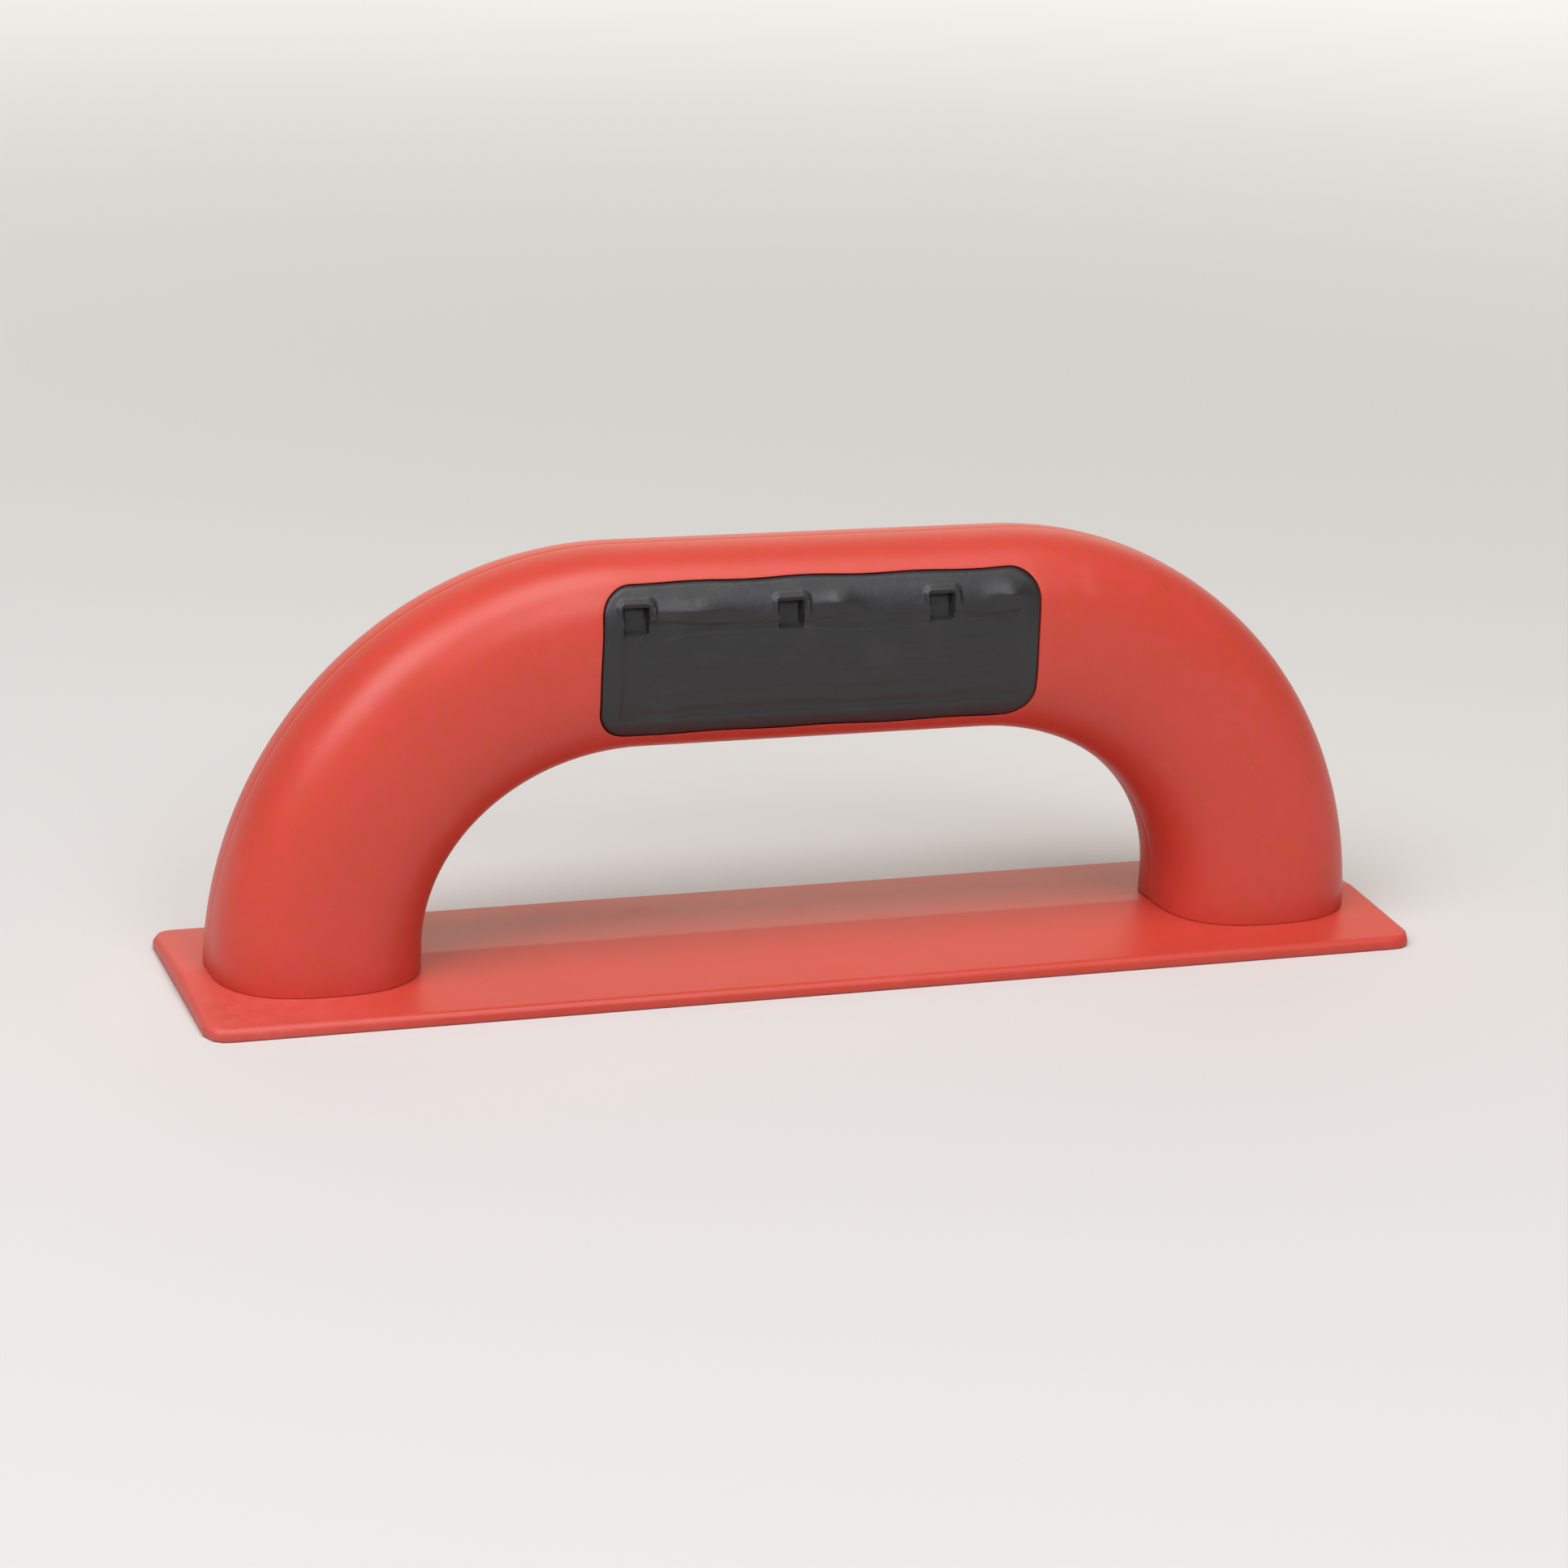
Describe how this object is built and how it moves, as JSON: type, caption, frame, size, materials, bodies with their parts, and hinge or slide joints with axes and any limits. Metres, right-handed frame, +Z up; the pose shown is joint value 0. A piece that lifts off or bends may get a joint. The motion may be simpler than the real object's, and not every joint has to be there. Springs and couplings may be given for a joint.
{
  "type": "hand float",
  "caption": "Plasterer's hand float body: long narrow plate with a hollow two-legged arch handle and soft grip inserts in the bar",
  "frame": {"origin": "middle of the flat working face, under the plate", "axes": "+X along the plate and the bar, +Y to the rear, +Z up from the working face to the bar"},
  "size_m": [0.25, 0.0586, 0.0848],
  "materials": {
    "plate_plastic": "satin moulded red plastic",
    "handle_plastic": "satin moulded red plastic with a fine grain",
    "grip_rubber": "soft matt black moulded rubber",
    "screw_steel": "bright zinc-plated steel"
  },
  "bodies": {
    "root": {"base_plate": "plate_plastic", "handle_front_shell": "handle_plastic", "handle_rear_shell": "handle_plastic", "front_grip_insert": "grip_rubber", "rear_grip_insert": "grip_rubber", "base_screws": "screw_steel", "shell_screws": "screw_steel"}
  },
  "joints": []
}
